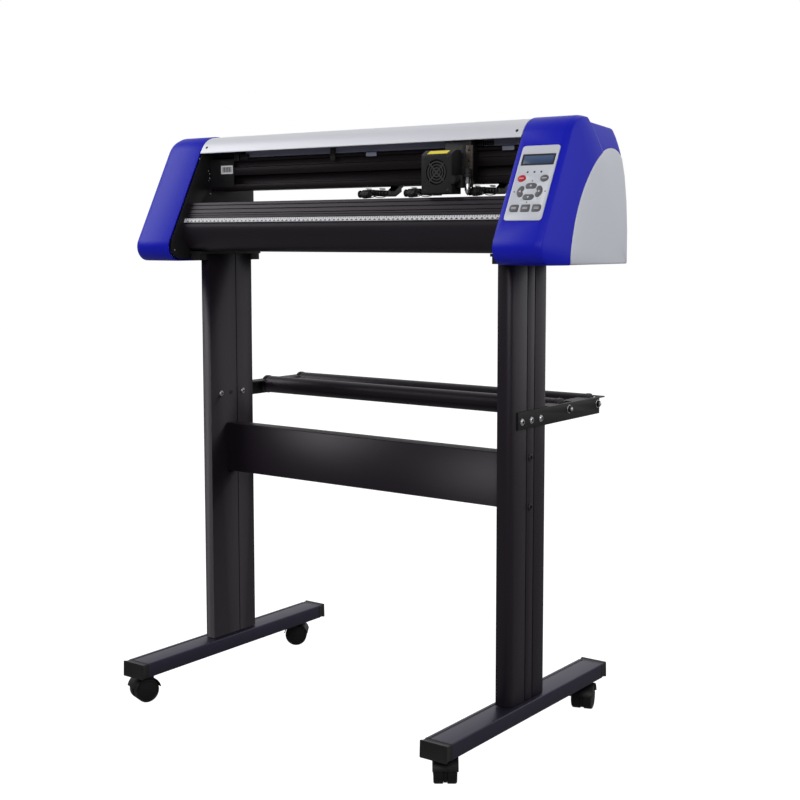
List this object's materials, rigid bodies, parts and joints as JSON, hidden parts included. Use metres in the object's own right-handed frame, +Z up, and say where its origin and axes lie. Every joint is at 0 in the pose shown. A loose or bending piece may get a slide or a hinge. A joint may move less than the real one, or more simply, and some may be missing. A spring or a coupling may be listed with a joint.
{
  "type": "vinyl cutter",
  "caption": "Roll-fed vinyl cutter with blue end covers on a wheeled stand: carriage with blade, pinch rollers, control panel and rear media rollers.",
  "frame": {"origin": "on the floor, midway between the two columns of the stand", "axes": "+Z up, +X to the operator's right along the beam, +Y away from the operator, so the blade and the control panel face -Y"},
  "size_m": [0.96, 0.528, 1.066],
  "materials": {
    "anodised_aluminium": "black anodised extrusion with a fine brushed grain and a faint warm tint",
    "black_steel": "satin black powder coat on sheet steel",
    "black_plastic": "moulded black ABS, fine spark texture",
    "blue_plastic": "moulded royal blue ABS, satin gloss",
    "silver_cover": "folded aluminium sheet, silver-grey paint",
    "grey_plastic": "moulded light grey ABS, satin",
    "keypad_film": "light grey printed polycarbonate overlay",
    "screen": "blue-grey liquid crystal window in a dark frame",
    "red_key": "red key",
    "grey_key": "dark grey keys",
    "bright_steel": "turned and ground steel",
    "rubber": "black rubber",
    "scale_white": "white printed scale strip",
    "circuit_board": "green glass-fibre circuit board"
  },
  "bodies": {
    "root": {"left_foot_beam": "anodised_aluminium", "left_column": "anodised_aluminium", "right_foot_beam": "anodised_aluminium", "right_column": "anodised_aluminium", "crossbar": "anodised_aluminium", "left_head_bracket": "black_steel", "right_head_bracket": "black_steel", "left_roller_bracket": "black_steel", "right_roller_bracket": "black_steel", "left_end_cover": "blue_plastic", "right_end_cover": "blue_plastic", "left_side_panel": "grey_plastic", "right_side_panel": "grey_plastic", "left_side_plate": "black_steel", "right_side_plate": "black_steel", "top_cover": "silver_cover", "guide_beam": "anodised_aluminium", "platen": "anodised_aluminium", "ruler_strip": "scale_white", "drive_belt": "rubber", "carriage_motor": "black_steel", "feed_motor": "black_steel", "control_board": "circuit_board", "power_inlet": "black_plastic", "keypad_panel": "keypad_film", "display_window": "screen"},
    "left_front_caster_swivel": {"left_front_caster_fork": "black_plastic"},
    "left_front_caster_wheel_pair": {"left_front_caster_wheels": "black_plastic"},
    "left_rear_caster_swivel": {"left_rear_caster_fork": "black_plastic"},
    "left_rear_caster_wheel_pair": {"left_rear_caster_wheels": "black_plastic"},
    "right_front_caster_swivel": {"right_front_caster_fork": "black_plastic"},
    "right_front_caster_wheel_pair": {"right_front_caster_wheels": "black_plastic"},
    "right_rear_caster_swivel": {"right_rear_caster_fork": "black_plastic"},
    "right_rear_caster_wheel_pair": {"right_rear_caster_wheels": "black_plastic"},
    "front_roller": {"front_media_roller": "anodised_aluminium"},
    "rear_roller": {"rear_media_roller": "anodised_aluminium"},
    "feed_shaft": {"grit_shaft": "bright_steel"},
    "carriage": {"carriage_body": "black_steel", "carriage_cover": "black_plastic"},
    "tool": {"tool_lift": "black_steel", "blade_holder": "bright_steel"},
    "knob": {"clamp_knob": "black_plastic"},
    "drive_pulley": {"drive_pulley": "bright_steel"},
    "idler_pulley": {"idler_pulley": "bright_steel"},
    "left_pinch_lever": {"left_pinch_arm": "black_plastic"},
    "left_pinch_roller": {"left_pinch_wheel": "rubber"},
    "middle_pinch_lever": {"middle_pinch_arm": "black_plastic"},
    "middle_pinch_roller": {"middle_pinch_wheel": "rubber"},
    "right_pinch_lever": {"right_pinch_arm": "black_plastic"},
    "right_pinch_roller": {"right_pinch_wheel": "rubber"},
    "red_button": {"red_button": "red_key"},
    "menu_button": {"menu_button": "grey_key"},
    "up_button": {"up_button": "grey_key"},
    "left_button": {"left_button": "grey_key"},
    "right_button": {"right_button": "grey_key"},
    "down_button": {"down_button": "grey_key"},
    "first_key": {"first_key": "grey_key"},
    "second_key": {"second_key": "grey_key"},
    "third_key": {"third_key": "grey_key"},
    "power_rocker": {"power_switch": "black_plastic"}
  },
  "joints": [
    {"name": "left_front_caster_turn", "type": "hinge", "parent": "root", "child": "left_front_caster_swivel", "pos_m": [-0.342, -0.2235, 0.0507], "axis": [0, 0, 1], "continuous": true},
    {"name": "left_front_caster_roll", "type": "hinge", "parent": "left_front_caster_swivel", "child": "left_front_caster_wheel_pair", "pos_m": [-0.34526, -0.23295, 0.0225], "axis": [-0.9455, 0.3256, 0], "continuous": true},
    {"name": "left_rear_caster_turn", "type": "hinge", "parent": "root", "child": "left_rear_caster_swivel", "pos_m": [-0.342, 0.216, 0.0507], "axis": [0, 0, 1], "continuous": true},
    {"name": "left_rear_caster_roll", "type": "hinge", "parent": "left_rear_caster_swivel", "child": "left_rear_caster_wheel_pair", "pos_m": [-0.35009, 0.21012, 0.0225], "axis": [-0.5878, 0.809, 0], "continuous": true},
    {"name": "right_front_caster_turn", "type": "hinge", "parent": "root", "child": "right_front_caster_swivel", "pos_m": [0.342, -0.229, 0.0507], "axis": [0, 0, 1], "continuous": true},
    {"name": "right_front_caster_roll", "type": "hinge", "parent": "right_front_caster_swivel", "child": "right_front_caster_wheel_pair", "pos_m": [0.33612, -0.22091, 0.0225], "axis": [0.809, 0.5878, 0], "continuous": true},
    {"name": "right_rear_caster_turn", "type": "hinge", "parent": "root", "child": "right_rear_caster_swivel", "pos_m": [0.342, 0.226, 0.0507], "axis": [0, 0, 1], "continuous": true},
    {"name": "right_rear_caster_roll", "type": "hinge", "parent": "right_rear_caster_swivel", "child": "right_rear_caster_wheel_pair", "pos_m": [0.34509, 0.21649, 0.0225], "axis": [-0.9511, -0.309, 0], "continuous": true},
    {"name": "front_roller_spin", "type": "hinge", "parent": "root", "child": "front_roller", "pos_m": [0, 0.1256, 0.569], "axis": [1, 0, 0], "continuous": true},
    {"name": "rear_roller_spin", "type": "hinge", "parent": "root", "child": "rear_roller", "pos_m": [0, 0.2306, 0.568], "axis": [1, 0, 0], "continuous": true},
    {"name": "feed_spin", "type": "hinge", "parent": "root", "child": "feed_shaft", "pos_m": [0, -0.048, 0.9306], "axis": [1, 0, 0], "continuous": true},
    {"name": "carriage_slide", "type": "slide", "parent": "root", "child": "carriage", "axis": [1, 0, 0], "range_m": [-0.54, 0.074]},
    {"name": "tool_drop", "type": "slide", "parent": "carriage", "child": "tool", "axis": [0, 0, 1], "range_m": [-0.0022, 0], "stiffness_N_per_m": 800, "springref_m": 0.004},
    {"name": "clamp_turn", "type": "hinge", "parent": "tool", "child": "knob", "pos_m": [0.263, -0.084, 0.9635], "axis": [0, -1, 0], "continuous": true},
    {"name": "drive_pulley_spin", "type": "hinge", "parent": "root", "child": "drive_pulley", "pos_m": [0.388, 0.006, 1.0265], "axis": [0, 0, 1], "continuous": true},
    {"name": "idler_pulley_spin", "type": "hinge", "parent": "root", "child": "idler_pulley", "pos_m": [-0.388, 0.006, 1.0265], "axis": [0, 0, 1], "continuous": true},
    {"name": "left_pinch_lift", "type": "hinge", "parent": "root", "child": "left_pinch_lever", "pos_m": [0.043, 0.044, 0.966], "axis": [-1, 0, 0], "range_deg": [0, 3.5], "stiffness_Nm_per_rad": 0.5, "springref_deg": -11.46},
    {"name": "left_pinch_spin", "type": "hinge", "parent": "left_pinch_lever", "child": "left_pinch_roller", "pos_m": [0.043, -0.048, 0.9447], "axis": [1, 0, 0], "continuous": true},
    {"name": "middle_pinch_lift", "type": "hinge", "parent": "root", "child": "middle_pinch_lever", "pos_m": [0.1435, 0.044, 0.966], "axis": [-1, 0, 0], "range_deg": [0, 3.5], "stiffness_Nm_per_rad": 0.5, "springref_deg": -11.46},
    {"name": "middle_pinch_spin", "type": "hinge", "parent": "middle_pinch_lever", "child": "middle_pinch_roller", "pos_m": [0.1435, -0.048, 0.9447], "axis": [1, 0, 0], "continuous": true},
    {"name": "right_pinch_lift", "type": "hinge", "parent": "root", "child": "right_pinch_lever", "pos_m": [0.2755, 0.044, 0.966], "axis": [-1, 0, 0], "range_deg": [0, 3.5], "stiffness_Nm_per_rad": 0.5, "springref_deg": -11.46},
    {"name": "right_pinch_spin", "type": "hinge", "parent": "right_pinch_lever", "child": "right_pinch_roller", "pos_m": [0.2755, -0.048, 0.9447], "axis": [1, 0, 0], "continuous": true},
    {"name": "red_button_press", "type": "slide", "parent": "root", "child": "red_button", "axis": [0, 0.8923, -0.4514], "range_m": [0, 0.0008], "stiffness_N_per_m": 300},
    {"name": "menu_button_press", "type": "slide", "parent": "root", "child": "menu_button", "axis": [0, 0.8923, -0.4514], "range_m": [0, 0.0008], "stiffness_N_per_m": 300},
    {"name": "up_button_press", "type": "slide", "parent": "root", "child": "up_button", "axis": [0, 0.8923, -0.4514], "range_m": [0, 0.0008], "stiffness_N_per_m": 300},
    {"name": "left_button_press", "type": "slide", "parent": "root", "child": "left_button", "axis": [0, 0.8923, -0.4514], "range_m": [0, 0.0008], "stiffness_N_per_m": 300},
    {"name": "right_button_press", "type": "slide", "parent": "root", "child": "right_button", "axis": [0, 0.8923, -0.4514], "range_m": [0, 0.0008], "stiffness_N_per_m": 300},
    {"name": "down_button_press", "type": "slide", "parent": "root", "child": "down_button", "axis": [0, 0.8923, -0.4514], "range_m": [0, 0.0008], "stiffness_N_per_m": 300},
    {"name": "first_key_press", "type": "slide", "parent": "root", "child": "first_key", "axis": [0, 0.8923, -0.4514], "range_m": [0, 0.0008], "stiffness_N_per_m": 300},
    {"name": "second_key_press", "type": "slide", "parent": "root", "child": "second_key", "axis": [0, 0.8923, -0.4514], "range_m": [0, 0.0008], "stiffness_N_per_m": 300},
    {"name": "third_key_press", "type": "slide", "parent": "root", "child": "third_key", "axis": [0, 0.8923, -0.4514], "range_m": [0, 0.0008], "stiffness_N_per_m": 300},
    {"name": "power_rock", "type": "hinge", "parent": "root", "child": "power_rocker", "pos_m": [0.432, 0.105, 0.8625], "axis": [1, 0, 0], "range_deg": [0, 14]}
  ],
  "couplings": [
    {"joint": "drive_pulley_spin", "follows": "carriage_slide", "rad_per_m": 98.039},
    {"joint": "idler_pulley_spin", "follows": "carriage_slide", "rad_per_m": 98.039},
    {"joint": "left_pinch_spin", "follows": "feed_spin", "ratio": -0.94286},
    {"joint": "middle_pinch_spin", "follows": "feed_spin", "ratio": -0.94286},
    {"joint": "right_pinch_spin", "follows": "feed_spin", "ratio": -0.94286}
  ]
}
